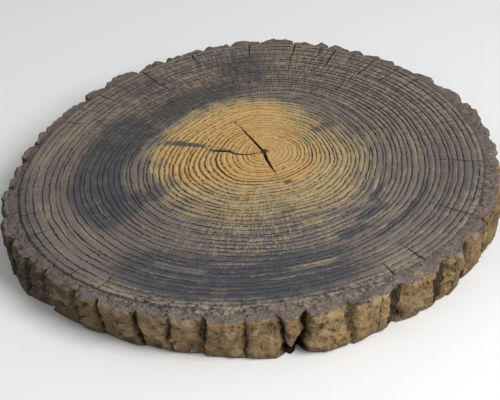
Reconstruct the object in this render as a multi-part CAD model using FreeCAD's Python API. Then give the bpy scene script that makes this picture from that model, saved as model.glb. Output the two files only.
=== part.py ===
"""Garden stepping stone: one concrete casting in the shape of a slice sawn from a log.

The bark edge is a ring of plates parted by furrows, the sawn face carries the bold growth
rings, and drying cracks run out from the heart and in from the bark. Millimetres and degrees,
+Z up, origin under the middle of the slice on the face that it lies on.
"""

import FreeCAD
import Part

import math
import os

# Outline of the slice at the shoulder of the bark
LOG_RADIUS = 194.16
OVAL_STRETCH = 11.2
OVAL_BEARING = 48.0
LOBE_SWELL = 4.1
LOBE_BEARING = -31.0

# Section of the edge, from the foot up to the rim
THICKNESS = 40.0
FOOT_HEIGHT = 5.0
FOOT_ROUND = 2.5
BELLY_HEIGHT = 20.0
WALL_LEAN = 3.0
BELLY_LEAN = 1.0
SHOULDER_ROUND = 4.0
BARK_STEP = 1.0

# Where the foot draws in further under the rim
DRAW_IN = 6.0
DRAW_IN_BEARING = 243.0
DRAW_IN_SPREAD = 24.0

# Bark plates: the furrows between them, by bearing about the log's axis
FURROW_BEARINGS = (
    0, 7, 15, 20, 29, 37, 41, 46, 50, 53, 57, 62, 66, 71, 75, 81, 89, 97, 105, 111, 116, 126, 137,
    144, 149, 155, 163, 169, 176, 183, 188, 198, 206, 214, 220, 227, 236, 244, 251, 259, 267, 275,
    282, 293, 300, 305, 313, 319, 323, 329, 339, 347, 354,
)
WIDE_FURROWS = (220, 259, 275, 282, 293, 305, 319, 329, 339)
FURROW_DEPTH = 5.5
FURROW_WIDTH = 4.4
WIDE_DEPTH = 7.5
WIDE_WIDTH = 8.0
WIDE_FLOOR = 3.2
PLATE_CROWN = 0.08

# Plates lean to one side or the other, so that one lip of a furrow stands proud of the other
PLATE_TILT = 1.1
TILT_TURN = 77.0

# Sway of a furrow from its foot to its rim, and the two that close to a wedge-shaped plate
FURROW_SWAY = 2.4
SWAY_TURN = 115.0
WEDGE_SWAY = {275: -9.0, 282: 5.0}

# Plates that stand out from the others or sink back, by the bearing of their first furrow
PLATE_STAND = {
    15: 2, 20: 3, 29: 2, 46: -2, 50: -2, 81: 3, 89: 2, 126: 2, 137: 2, 176: -2, 188: 2, 198: 4,
    206: 2, 244: -1, 275: 1, 282: 2, 300: -1, 313: -1, 339: 3, 354: -1,
}

# How far a furrow is open at each level, where 1 is its full size, and those that gape at the foot
SOLE_OPEN = 0.4
FOOT_OPEN = 0.65
BELLY_OPEN = 0.85
SHOULDER_OPEN = 1.0
RIM_OPEN = 0.4
FOOT_GAPE = {282: 1.25, 305: 1.0}

# Growth rings of the sawn face: where the first and the last are centred, and how wide the bark is
# there, which thins towards one side
HEART_X = 4.0
HEART_Y = 20.4
WOOD_X = -1.0
WOOD_Y = -3.0
BARK_WIDTH = 17.5
THIN_BARK = 5.5
THIN_BEARING = 100.0

# The first rings bulge to one side of the heart
PITH_LEAN = 0.3
PITH_BEARING = 8.0
PITH_SPREAD = 0.16

# Narrow rings round the heart and broad ones under the bark, and those that are cut deep
FINE_RINGS = 38
WIDE_RINGS = 7
WIDE_FROM = 0.76
BOLD_RINGS = (5, 10, 15, 20, 25, 30, 35, 39, 42, 45)
RING_GROOVE_WIDTH = 2.0
RING_GROOVE_DEPTH = 1.3
RING_WAVE = 1.2
RING_POINTS = 24

# Drying cracks. At the heart: bearing, near end, far end and width. At the bark: bearing and reach
HEART_CRACKS = ((112, -34, 56, 2.6), (182, 4, 43, 2.0))
RIM_CHECKS = (
    (3, 48), (37, 20), (44, 28), (51, 28), (58, 38), (69, 46), (73, 14), (80, 36), (92, 17),
    (108, 15), (124, 30), (134, 10), (141, 17), (149, 14), (157, 11), (189, 31), (200, 16),
    (208, 21), (225, 9), (233, 11), (306, 15), (316, 24), (339, 32),
)
HEART_CRACK_DEPTH = 4.0
RIM_CHECK_WIDTH = 1.6
RIM_CHECK_DEPTH = 2.5
CHECK_IN_BARK = 3.0

FULL_TURN = 360.0


def polar(radius, bearing, z, centre=(0.0, 0.0)):
    """A point at a bearing and radius about a centre."""
    angle = math.radians(bearing)
    return FreeCAD.Vector(
        centre[0] + radius * math.cos(angle), centre[1] + radius * math.sin(angle), z
    )


def log_radius(bearing):
    """Radius of the slice before the bark is broken into plates: an oval with three soft lobes."""
    oval = OVAL_STRETCH * math.cos(2 * math.radians(bearing - OVAL_BEARING))
    lobes = LOBE_SWELL * math.cos(3 * math.radians(bearing - LOBE_BEARING))
    return LOG_RADIUS + oval + lobes


def degrees_of(length):
    """The bearing that a length takes up along the edge."""
    return math.degrees(length / LOG_RADIUS)


def furrow(index):
    """Bearing, width, depth, floor width and sway of a furrow.

    The sway swings from one furrow to the next, and only a wide furrow has a flat floor.
    """
    index %= len(FURROW_BEARINGS)
    bearing = FURROW_BEARINGS[index]
    wide = bearing in WIDE_FURROWS
    width = WIDE_WIDTH if wide else FURROW_WIDTH
    depth = WIDE_DEPTH if wide else FURROW_DEPTH
    floor = WIDE_FLOOR if wide else 0.0
    swing = FURROW_SWAY * math.sin(math.radians(SWAY_TURN * index))
    sway = degrees_of(WEDGE_SWAY.get(bearing, swing))
    return bearing, width, depth, floor, sway


def plate_stand(index):
    """How far the plate after a furrow stands out at its first and at its second lip."""
    stand = PLATE_STAND.get(FURROW_BEARINGS[index % len(FURROW_BEARINGS)], 0.0)
    tilt = PLATE_TILT * math.sin(math.radians(TILT_TURN * index))
    return stand + tilt, stand - tilt


def draw_in(bearing):
    """How far the foot draws in under the rim, beyond the lean that it has all round."""
    away = (bearing - DRAW_IN_BEARING + FULL_TURN / 2) % FULL_TURN - FULL_TURN / 2
    return DRAW_IN * math.exp(-((away / DRAW_IN_SPREAD) ** 2))


def bark_level(z, inset, draw, opened, gaping=0.0):
    """The edge's outline at one height, as a list of edges: flank, crown and flank of each plate,
    and the floor of a wide furrow after it.

    draw is how much of the foot's drawing in is felt at this height, opened how much of a furrow's
    full depth and width is open, and gaping how much of that is the foot's gape where it has one.
    """
    rise = z / THICKNESS - 0.5

    def edge_point(at, out):
        return polar(log_radius(at) - inset - draw * draw_in(at) + out, at, z)

    def open_share(bearing):
        return opened + gaping * (FOOT_GAPE.get(bearing, opened) - opened)

    def floor(index, side):
        bearing, _, depth, width, sway = furrow(index)
        share = open_share(bearing)
        at = bearing + sway * rise + side * degrees_of(width * share / 2)
        return edge_point(at, -depth * share)

    def lip(index, side, stand):
        bearing, width, _, _, sway = furrow(index)
        at = bearing + sway * rise + side * degrees_of(width * open_share(bearing) / 2)
        return edge_point(at, stand), at

    edges = []
    for index in range(len(FURROW_BEARINGS)):
        first, second = plate_stand(index)
        start, start_bearing = lip(index, 1, first)
        end, end_bearing = lip(index + 1, -1, second)
        middle = start_bearing + ((end_bearing - start_bearing) % FULL_TURN) / 2
        crown = PLATE_CROWN * start.distanceToPoint(end)
        crest = edge_point(middle, (first + second) / 2 + crown)
        foot = floor(index + 1, -1)
        edges.append(Part.LineSegment(floor(index, 1), start).toShape())
        edges.append(Part.Arc(start, crest, end).toShape())
        edges.append(Part.LineSegment(end, foot).toShape())
        if furrow(index + 1)[3] > 0:
            edges.append(Part.LineSegment(foot, floor(index + 1, 1)).toShape())
    return edges


def bark_edge():
    """Levels of the bark from the foot to the rim, each as a list of edges."""
    rim = THICKNESS - BARK_STEP
    return [
        bark_level(0.0, WALL_LEAN + FOOT_ROUND, 1.0, SOLE_OPEN, gaping=1.0),
        bark_level(FOOT_HEIGHT, WALL_LEAN, 1.0, FOOT_OPEN, gaping=1.0),
        bark_level(BELLY_HEIGHT, BELLY_LEAN, 0.5, BELLY_OPEN),
        bark_level(rim - SHOULDER_ROUND, 0.0, 0.0, SHOULDER_OPEN),
        bark_level(rim, SHOULDER_ROUND, 0.0, RIM_OPEN),
    ]


def ring_share(ring):
    """Share of the way from the heart to the bark of a ring, by its number."""
    if ring <= FINE_RINGS:
        return WIDE_FROM * ring / FINE_RINGS
    return WIDE_FROM + (1 - WIDE_FROM) * (ring - FINE_RINGS) / WIDE_RINGS


def ring_point(share, bearing, offset, z):
    """A point of a ring, which wanders a little as it goes round."""
    centre = (
        HEART_X * (1 - share) + WOOD_X * share,
        HEART_Y * (1 - share) + WOOD_Y * share,
    )
    thinning = (BARK_WIDTH - THIN_BARK) * (1 + math.cos(math.radians(bearing - THIN_BEARING))) / 2
    lean = PITH_LEAN * math.exp(-((share / PITH_SPREAD) ** 2))
    bulge = 1 + lean * math.cos(math.radians(bearing - PITH_BEARING))
    broad = math.sin(math.radians(3 * bearing + 400 * share))
    close = math.sin(math.radians(7 * bearing - 700 * share))
    wave = RING_WAVE * math.sin(math.pi * share) * (broad + 0.6 * close)
    wood = share * (log_radius(bearing) - BARK_WIDTH) + thinning * share**6
    return polar(wood * bulge + wave + offset, bearing, z, centre)


def ring_curve(share, offset, z):
    """A growth ring as one closed curve: share runs from 0 at the heart to 1 at the bark."""
    bearings = [FULL_TURN * step / RING_POINTS for step in range(RING_POINTS)]
    curve = Part.BSplineCurve()
    points = [ring_point(share, bearing, offset, z) for bearing in bearings]
    curve.interpolate(points, PeriodicFlag=True)
    return curve.toShape()


def ring_groove(share, outer_z):
    """The two walls of a ring's V groove, with its outer and inner lip."""
    half = RING_GROOVE_WIDTH / 2
    outer = ring_curve(share, half, outer_z)
    floor = ring_curve(share, 0.0, outer_z - RING_GROOVE_DEPTH)
    inner = ring_curve(share, -half, THICKNESS)
    walls = [Part.makeRuledSurface(floor, outer), Part.makeRuledSurface(inner, floor)]
    return walls, outer, inner


def land(outer, inner=None):
    """The flat between two closed outlines at one height."""
    wires = [Part.Wire(outer)]
    if inner is not None:
        wires.append(Part.Wire(inner))
    return Part.makeFace(wires, "Part::FaceMakerBullseye")


def casting():
    """The slice as one solid, before it cracks."""
    levels = bark_edge()
    faces = [land(levels[0])]
    for low, high in zip(levels, levels[1:]):
        faces += [Part.makeRuledSurface(a, b, 1) for a, b in zip(low, high)]
    lip = levels[-1]
    for ring in reversed(BOLD_RINGS):
        outer_z = THICKNESS - BARK_STEP if ring == BOLD_RINGS[-1] else THICKNESS
        walls, outer, inner = ring_groove(ring_share(ring), outer_z)
        faces.append(land(lip, outer))
        faces += walls
        lip = inner
    faces.append(land(lip))
    shell = Part.Shell(faces)
    shell.sewShape()
    solid = Part.Solid(shell)
    if solid.Volume < 0:
        solid.reverse()
    return solid


def crack(start, end, width, depth):
    """A lens-shaped cut down from the sawn face, pointed at both ends."""
    along = end - start
    across = FreeCAD.Vector(-along.y, along.x, 0).normalize() * (width / 2)
    middle = (start + end) / 2
    left = Part.Arc(start, middle + across, end).toShape()
    right = Part.Arc(end, middle - across, start).toShape()
    outline = Part.Face(Part.Wire([left, right]))
    outline.translate(FreeCAD.Vector(0, 0, THICKNESS + depth))
    return outline.extrude(FreeCAD.Vector(0, 0, -2 * depth))


def cracks():
    """Cracks through the heart, and checks that run from the bark towards it."""
    heart = FreeCAD.Vector(HEART_X, HEART_Y, 0)
    cuts = []
    for bearing, near, far, width in HEART_CRACKS:
        start = heart + polar(near, bearing, 0)
        end = heart + polar(far, bearing, 0)
        cuts.append(crack(start, end, width, HEART_CRACK_DEPTH))
    for bearing, reach in RIM_CHECKS:
        start = ring_point(1.0, bearing, CHECK_IN_BARK, 0)
        inward = (heart - start).normalize() * (CHECK_IN_BARK + reach)
        cuts.append(crack(start, start + inward, RIM_CHECK_WIDTH, RIM_CHECK_DEPTH))
    return cuts


def main():
    stone = casting().cut(cracks())
    if not stone.isValid() or len(stone.Solids) != 1:
        raise ValueError("the stone is not one valid solid")
    box = stone.optimalBoundingBox()
    stone.translate(FreeCAD.Vector(-box.Center.x, -box.Center.y, 0))
    os.makedirs("parts", exist_ok=True)
    stone.exportStep("parts/stepping_stone.step")


main()
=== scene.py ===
"""Log slice stepping stone: growth rings, drying cracks, furrowed bark and stain over the cast frame."""

import math

import bpy
import numpy as np
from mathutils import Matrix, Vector, noise
from mathutils.bvhtree import BVHTree


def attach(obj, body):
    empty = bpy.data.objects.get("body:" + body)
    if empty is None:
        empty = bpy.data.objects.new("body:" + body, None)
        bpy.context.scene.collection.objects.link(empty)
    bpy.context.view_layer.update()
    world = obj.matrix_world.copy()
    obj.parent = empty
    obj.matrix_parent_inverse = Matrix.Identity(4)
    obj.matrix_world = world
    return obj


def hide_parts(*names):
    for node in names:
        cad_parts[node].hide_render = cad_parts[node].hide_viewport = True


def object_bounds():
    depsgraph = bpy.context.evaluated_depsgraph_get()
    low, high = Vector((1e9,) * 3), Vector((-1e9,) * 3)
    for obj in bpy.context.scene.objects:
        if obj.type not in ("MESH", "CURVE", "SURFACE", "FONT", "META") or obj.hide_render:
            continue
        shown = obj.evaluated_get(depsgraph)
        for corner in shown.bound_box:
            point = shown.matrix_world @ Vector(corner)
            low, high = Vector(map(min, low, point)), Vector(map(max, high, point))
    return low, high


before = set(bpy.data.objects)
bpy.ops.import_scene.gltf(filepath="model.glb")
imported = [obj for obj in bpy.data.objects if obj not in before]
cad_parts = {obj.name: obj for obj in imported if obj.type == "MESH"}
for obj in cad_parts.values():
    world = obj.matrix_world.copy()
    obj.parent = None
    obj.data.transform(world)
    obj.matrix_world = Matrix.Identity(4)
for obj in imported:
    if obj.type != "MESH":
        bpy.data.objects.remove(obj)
CAD_LOW, CAD_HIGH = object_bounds()
STONE = "stepping_stone"
FULL_TURN = 360.0

bl_info = {
    "name": "Log slice stepping stone",
    "version": (1, 0, 0),
    "blender": (4, 5, 0),
    "location": "View3D > Sidebar > Stone",
    "description": "Dresses a cast log slice with growth rings, cracks, bark and stain",
    "category": "Add Mesh",
}

# Arms of the cracks at the heart, each as stations of distance, bearing and width
HEART_CRACKS = (
    ((0.0, 112, 0.0028), (0.014, 111.5, 0.0024), (0.035, 112.5, 0.0017), (0.046, 112, 0.0009),
     (0.056, 113, 0.0)),
    ((0.004, 205, 0.0010), (0.006, 200, 0.0022), (0.020, 187, 0.0030), (0.0255, 179, 0.0030),
     (0.031, 172, 0.0030), (0.0385, 171, 0.0026), (0.045, 169.5, 0.0018), (0.052, 166, 0.0)),
    ((0.0, 290, 0.0028), (0.0095, 287, 0.0028), (0.022, 290, 0.0020), (0.034, 292, 0.0)),
)

# Checks that run in from the bark: bearing and reach
RIM_CHECKS = (
    (3, 0.048), (37, 0.020), (44, 0.028), (51, 0.028), (58, 0.038), (64, 0.020), (69, 0.046),
    (73, 0.014), (80, 0.036), (92, 0.017), (108, 0.015), (124, 0.030), (134, 0.010), (141, 0.017),
    (149, 0.014), (157, 0.011), (189, 0.031), (200, 0.016), (208, 0.021), (225, 0.009),
    (233, 0.011), (306, 0.015), (316, 0.024), (339, 0.032),
)

# How far the gold stain reaches from the heart, as bearing and share of the sawn face
GOLD_REACH = (
    (-180, 0.51), (-150, 0.47), (-120, 0.46), (-90, 0.46), (-60, 0.47), (-30, 0.50), (0, 0.48),
    (30, 0.42), (60, 0.42), (90, 0.50), (120, 0.53), (150, 0.54), (180, 0.51),
)

# Slate stain: middle and half height as shares of the face, middle and half width as bearings, depth
SLATE_STAINS = (
    (0.70, 0.12, -165, 24, 1.0), (0.69, 0.13, 166, 22, 1.0), (0.65, 0.10, 122, 30, 0.75),
    (0.38, 0.07, -155, 8, 0.42), (0.62, 0.20, -150, 6, 0.7), (0.83, 0.145, -93, 37, 1.0),
    (0.59, 0.02, -25, 9, 0.8), (0.64, 0.03, -39, 9, 0.8), (0.69, 0.03, -51, 8, 0.8),
    (0.77, 0.02, -30, 24, 0.8), (0.93, 0.04, 5, 18, 0.4), (0.80, 0.18, 95, 10, 0.65),
    (0.88, 0.09, 128, 9, 0.6), (0.38, 0.09, 42, 5, 0.5), (0.38, 0.13, 163, 3.2, 0.75),
    (0.98, 0.03, -160, 24, 0.5), (0.25, 0.012, -61, 5, 1.2), (0.21, 0.06, 171, 3.5, 0.9),
    (0.88, 0.12, -8, 32, 0.40), (0.44, 0.09, 180, 13, 0.22), (0.86, 0.08, -172, 16, 0.35),
    (0.84, 0.09, -122, 9, 0.8),
)

# Arcs where the slate is rubbed off, in the slate stain's terms
RUBBED = (
    (0.80, 0.014, -113, 9, 0.9), (0.80, 0.018, -73, 10, 0.9), (0.745, 0.014, -98, 9, 0.6),
    (0.855, 0.014, -84, 7, 0.5),
)

# Where short rays across the rings give a woven look, in the slate stain's terms
WOVEN = (
    (0.50, 0.22, -95, 38, 0.8), (0.76, 0.25, 55, 42, 1.0), (0.78, 0.24, 118, 36, 1.0),
    (0.68, 0.20, 152, 16, 0.9),
)

# Where the ring lines are broad and dark, in the same terms
COARSE = (
    (0.32, 0.13, -168, 42, 0.9), (0.78, 0.26, 55, 44, 1.0), (0.80, 0.24, 118, 38, 0.9),
    (0.30, 0.10, 10, 28, 0.4), (0.86, 0.14, -158, 32, 0.4), (0.86, 0.14, -16, 30, 0.3),
)

# Worn smooth, with hardly a ring to see, in the same terms
SMOOTH = ((0.20, 0.13, 88, 30, 1.0), (0.35, 0.09, 84, 15, 0.8), (0.08, 0.06, 30, 50, 0.8))

# Warm orange in the gold, in the same terms
WARM_STAINS = ((0.19, 0.07, -95, 62, 1.0), (0.22, 0.10, 122, 32, 0.9))

# How dark the bark plates are by bearing: partly their own stain, partly painted shade on the left side,
# away from the key light
BARK_SHADE = (
    (0, 0.30), (40, 0.45), (130, 0.60), (180, 1.0), (212, 1.0), (232, 0.60), (250, 0.40), (268, 0.32),
    (290, 0.05), (304, 0.02), (311, 0.15), (318, 0.18), (335, 0.30), (360, 0.30),
)

# Furrows that differ from the frame's: bearing, degrees aside, share of the frame's depth, half width in
# the frame and half width here
FURROWS = (
    (220, 0.0, 1.0, 0.0040, 0.0046), (227, 2.0, 0.8, 0.0022, 0.0036), (236, -1.3, 0.9, 0.0022, 0.0038),
    (244, -0.3, 0.9, 0.0022, 0.0046), (251, -0.3, 0.6, 0.0022, 0.0036), (259, -1.2, 0.75, 0.0040, 0.0046),
    (267, 0.0, 0.6, 0.0022, 0.0042), (275, 0.0, 0.9, 0.0040, 0.0040), (282, -2.4, 1.0, 0.0040, 0.0044),
    (293, -2.2, 0.4, 0.0040, 0.0046), (300, -1.5, 0.2, 0.0022, 0.0014), (305, -1.8, 0.25, 0.0040, 0.0095),
    (313, -2.4, 0.5, 0.0022, 0.0036), (319, -2.2, 0.25, 0.0040, 0.0100), (323, -1.6, 0.5, 0.0022, 0.0018),
    (329, -1.7, 0.30, 0.0040, 0.0088), (339, -1.3, 0.25, 0.0040, 0.0105),
)

# Hollows broken out of the bark: height and half height, bearing and half width, depth
HOLLOWS = ((0.0034, 0.0050, 278.3, 3.0, 0.0060), (0.0070, 0.0034, 305.2, 0.8, 0.0050))

# How far the top of the bark slopes down to its rim, by bearing
RIM_SLOPE = (
    (0, 0.0006), (140, 0.0010), (180, 0.0030), (225, 0.0034), (250, 0.0016), (280, 0.0008), (360, 0.0006),
)

# How far the foot of the bark stands out beyond the frame's, by bearing
FOOT_FLARE = (
    (0, 0.0), (198, 0.0), (206, 0.0040), (214, 0.0045), (221, 0.0), (262, 0.0), (268, 0.0026),
    (274, 0.0040), (276, 0.0), (280, 0.0), (282, 0.0036), (285, 0.0048), (291, 0.0030), (297, 0.0),
    (304, 0.0022), (310, 0.0), (360, 0.0),
)

# Share of the frame's crown that the bark plates have, by bearing
PLATE_CROWN = ((0, 0.4), (35, 0.95), (150, 0.95), (180, 0.6), (205, 0.35), (340, 0.35), (360, 0.4))

# Where a dark crease parts the bark from the wood, and where short ticks cross that joint, by bearing
CREASE = (
    (0, 0.6), (60, 0.5), (150, 0.4), (190, 1.0), (238, 1.0), (256, 0.3), (290, 0.2), (330, 0.5), (360, 0.6),
)
TICKS = (
    (0, 0.5), (20, 0.4), (40, 0.1), (120, 0.0), (222, 0.0), (242, 0.9), (280, 0.8), (296, 0.6),
    (316, 0.5), (345, 0.6), (360, 0.5),
)

# Heights of the bark and how far its furrows are open there
FURROW_OPEN = ((0.0, 0.40), (0.005, 0.65), (0.020, 0.85), (0.035, 1.0), (0.039, 0.40))

# Ring numbers over which the lines clear up from the heart, end as beads, begin as steady lines and get
# thinner, and over which the crumbs of the joint begin
CLEAR_RINGS, BEADED_RINGS, STEADY_RINGS, FINE_RINGS = (1, 9), (36, 28), (28, 37), (30, 38)
JOINT_RINGS = (42.2, 44.6)

# The one ring whose line is bold
BOLD_RING = 11

# How unevenly rings are spaced, and seeds of the draws for rings, furrows and plates
RING_UNEVEN = 0.22
RING_SEED, FURROW_SEED, PLATE_SEED = 3.7, 5.1, 7.7

# Waves round a ring, degrees that they turn from heart to bark, share of the close ones, and kinks
BROAD_WAVES, BROAD_TURN, CLOSE_WAVES, CLOSE_TURN, CLOSE_SHARE = 3, 400, 7, 700, 0.6
KINKS_ROUND, KINKS_OUT = 11, 40

# Ring grooves: mean depth and its swing as shares, size of that swing's patches, share worn off if smooth
GROOVE_MEAN, GROOVE_SWING, GROOVE_GRAIN, GROOVE_WORN = 0.62, 0.38, 0.012, 0.8

# Height and grain of the sawn face's roughness
SAW_ROUGH, SAW_GRAIN = 0.00012, 0.004

# How far stains wander as a share of the face, over what distance, and the degrees that go with a share
STAIN_WANDER, WANDER_GRAIN, WANDER_TURN = 0.02, 0.016, 150

# Gold stain: bearing of its crisp edge, its fade elsewhere, what is lost of that there, depth at its reach
GOLD_CRISP, GOLD_FADE, GOLD_FADE_LOSS, GOLD_AT_REACH = 140, 0.48, 0.36, 0.30

# Half width at which a heart crack and a rim check close, that of a heart crack of full depth, and the
# depth from which a crack is dark
HEART_CLOSED, CHECK_CLOSED, HEART_FULL, CRACK_DARK = 0.0001, 0.0002, 0.0009, 0.0004

# Distance from the heart at which columns are shared out between the cracks, and darkness of a rim check
CRACK_MIDDLE = 0.02
CHECK_DARK = 0.35

# Bark flakes: size, how far their outlines wander, over what distance, and width of a joint in flakes
FLAKE_SIZE = (0.010, 0.010, 0.013)
FLAKE_WANDER, FLAKE_WANDER_GRAIN, FLAKE_JOINT = 0.005, 0.010, 0.10

# Grain of the bark's lumps, knobs, grit, pits and comb marks
LUMP_GRAIN, KNOB_GRAIN, GRIT_GRAIN, PIT_GRAIN, COMB_GRAIN = 0.019, 0.008, 0.0036, 0.0050, 0.0032

# Noise at which a pit begins and its depth, how comb marks are drawn out and their depth in a furrow
PIT_START, PIT_DEPTH = 0.40, 0.005
COMB_STRETCH, COMB_DEPTH = (1.0, 1.0, 0.16), 0.0016

# Height over which a furrow strays one way, depth below the rim at which it strays freely, and how ragged
# its lips are
STRAY_GRAIN, STRAY_START, LIP_RAGGED = 0.011, 0.006, 0.4

# Mean depth of a furrow beside the frame's, and how far it varies
FURROW_FORCE, FORCE_SWING = 0.85, 0.2

# How far above the rim a furrow's dark wash begins, the height that it takes to be full, and how much
# further it spreads in a gaping furrow
WASH_HEAD, WASH_RUN, GAPING_SPREAD = 0.002, 0.006, 4.0

# How far the rim's stain runs down, depth at which a hollow is wholly dark, and the unit of relief
CAP_DEPTH, HOLLOW_DARK, RELIEF_UNIT = 0.0045, 0.005, 0.001

# Height at which the bark's relief is full, and the share of it that there is beside the wood
FOOT_EASE, INNER_RELIEF = 0.003, 0.35

# Curve of the foot's flare and of the slope to the rim
FLARE_CURVE, SLOPE_CURVE = 1.5, 1.5

# A hair inside the frame's surface, where its edge is felt
HAIR = 0.0001

# Share of the way to the bark of each row under the stone, first with the bark's columns, then with fewer
SOLE_EDGE, SOLE_INNER = (0.985, 0.93), (0.82, 0.5, 0.2)

# Edges with a turn of more degrees than this look sharp
SHARP_TURN = 50

# Last ring of the heart and of the middle wood, and columns of points round each band and the bark
HEART_LAST, MIDDLE_LAST = 9, 19
HEART_COLUMNS, MIDDLE_COLUMNS, OUTER_COLUMNS, BARK_COLUMNS, SOLE_COLUMNS = 120, 256, 480, 860, 120

# Columns on each side of a furrow's floor, and stations over the bark's top, shoulder and wall
FLANK = 3
TOP_ROWS, SHOULDER_ROWS, WALL_ROWS = 9, 6, 35

# Materials of the mesh, in order
SAWN, BARK, UNDERSIDE = 0, 1, 2

# Kinds of group socket
FLOAT, COLOUR = "NodeSocketFloat", "NodeSocketColor"

# Specular level of all finishes, most roughness of the stone and roughness of the floor
MATTE_SPECULAR, MATTE_ROUGHNESS, FLOOR_ROUGHNESS = 0.12, 0.95, 0.9

# Width of the camera's frame in millimetres, gap between the stone and the floor, and share of the stone's
# height that the lights face
FRAME_WIDTH, FLOOR_GAP, LIT_SHARE = 36.0, 0.0004, 0.75


def srgb(red, green, blue):
    """A display colour of 0 to 255 as the linear colour that shaders use."""
    shares = [value / 255 for value in (red, green, blue)]
    return tuple(v / 12.92 if v <= 0.04045 else ((v + 0.055) / 1.055) ** 2.4 for v in shares)


def length(name, description, default):
    return bpy.props.FloatProperty(
        name=name, description=description, default=default, unit="LENGTH", precision=4
    )


def number(name, description, default):
    return bpy.props.FloatProperty(name=name, description=description, default=default)


def count(name, description, default):
    return bpy.props.IntProperty(name=name, description=description, default=default, min=1)


def colour(name, description, default):
    return bpy.props.FloatVectorProperty(
        name=name, description=description, default=default, subtype="COLOR", min=0, max=1
    )


def spot(name, description, default):
    return bpy.props.FloatVectorProperty(
        name=name, description=description, default=default, unit="LENGTH"
    )


class SliceSettings(bpy.types.PropertyGroup):
    """Sizes of the log slice."""

    axis_x: length("Axis X", "Log axis from the middle of the stone", 0.002809)
    axis_y: length("Axis Y", "Log axis from the middle of the stone", -0.005638)
    log_radius: length("Log radius", "Mean radius at the bark's shoulder", 0.19416)
    oval_stretch: length("Oval stretch", "How far the outline is drawn into an oval", 0.0112)
    oval_bearing: number("Oval bearing", "Direction of the oval in degrees", 48.0)
    lobe_swell: length("Lobe swell", "Height of the outline's three soft lobes", 0.0041)
    lobe_bearing: number("Lobe bearing", "Direction of one lobe in degrees", -31.0)
    bark_width: length("Bark width", "Bark that shows on the sawn face at its widest", 0.0175)
    thin_bark: length("Thin bark", "Bark that shows where it is thinnest", 0.0055)
    thin_bearing: number("Thin bearing", "Side where it is thinnest, in degrees", 100.0)
    bark_step: length("Bark step", "Drop from the sawn wood to the bark's top", 0.0010)
    shoulder: length("Shoulder", "Radius of the bark's upper edge", 0.0040)
    heart_x: length("Heart X", "Heart of the rings from the log axis", 0.0040)
    heart_y: length("Heart Y", "Heart of the rings from the log axis", 0.0204)
    pith_lean: number("Pith lean", "How lopsided the first few rings are", 0.30)
    pith_bearing: number("Pith bearing", "Side that they bulge to, in degrees", 8.0)
    pith_spread: number("Pith spread", "Share of the face over which that fades", 0.16)
    wood_x: length("Wood X", "Middle of the last ring from the log axis", -0.0010)
    wood_y: length("Wood Y", "Middle of the last ring from the log axis", -0.0030)
    rings: count("Rings", "Growth rings from the heart to the bark", 45)
    ring_spread: number("Ring spread", "How much broader the rings are under the bark than their mean", 0.15)
    ring_wave: length("Ring wave", "How far the rings wander", 0.0012)
    ring_kink: length("Ring kink", "Height of the small kinks in the rings", 0.0006)
    groove_width: number("Groove width", "Share of a ring that its groove takes up", 0.30)
    groove_depth: length("Groove depth", "Depth of the ring grooves", 0.0009)
    heart_crack_depth: length("Heart crack depth", "Depth of the cracks at the heart", 0.0040)
    check_width: length("Check width", "Width of a rim check at the bark", 0.0018)
    check_depth: length("Check depth", "Depth of a rim check at the bark", 0.0017)
    check_stray: number("Check stray", "How far a rim check strays from its line, in degrees", 0.3)
    lump: length("Bark lumps", "Height of the broad swellings of the bark", 0.0018)
    knob: length("Bark knobs", "Height of the small knobs of the bark", 0.0011)
    flake: length("Bark flakes", "Step between neighbouring bark flakes", 0.0018)
    grit: length("Bark grit", "Height of the bark's sandy grit", 0.0008)
    furrow_half: length("Furrow half width", "Half width of a plain furrow", 0.0022)
    wide_half: length("Wide furrow half width", "Half width from which a furrow's floor is ridged", 0.0050)
    furrow_extra: length("Furrow extra", "Depth added to the bark's furrows", 0.0012)
    furrow_stray: length("Furrow stray", "How far a furrow strays from its line", 0.0022)
    flare_height: length("Flare height", "Height over which the foot's flare ends", 0.022)
    toe_fill: number("Toe fill", "Share of a furrow that is filled at the sole", 0.9)
    toe_height: length("Toe height", "Height over which that fill ends", 0.0070)


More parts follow.
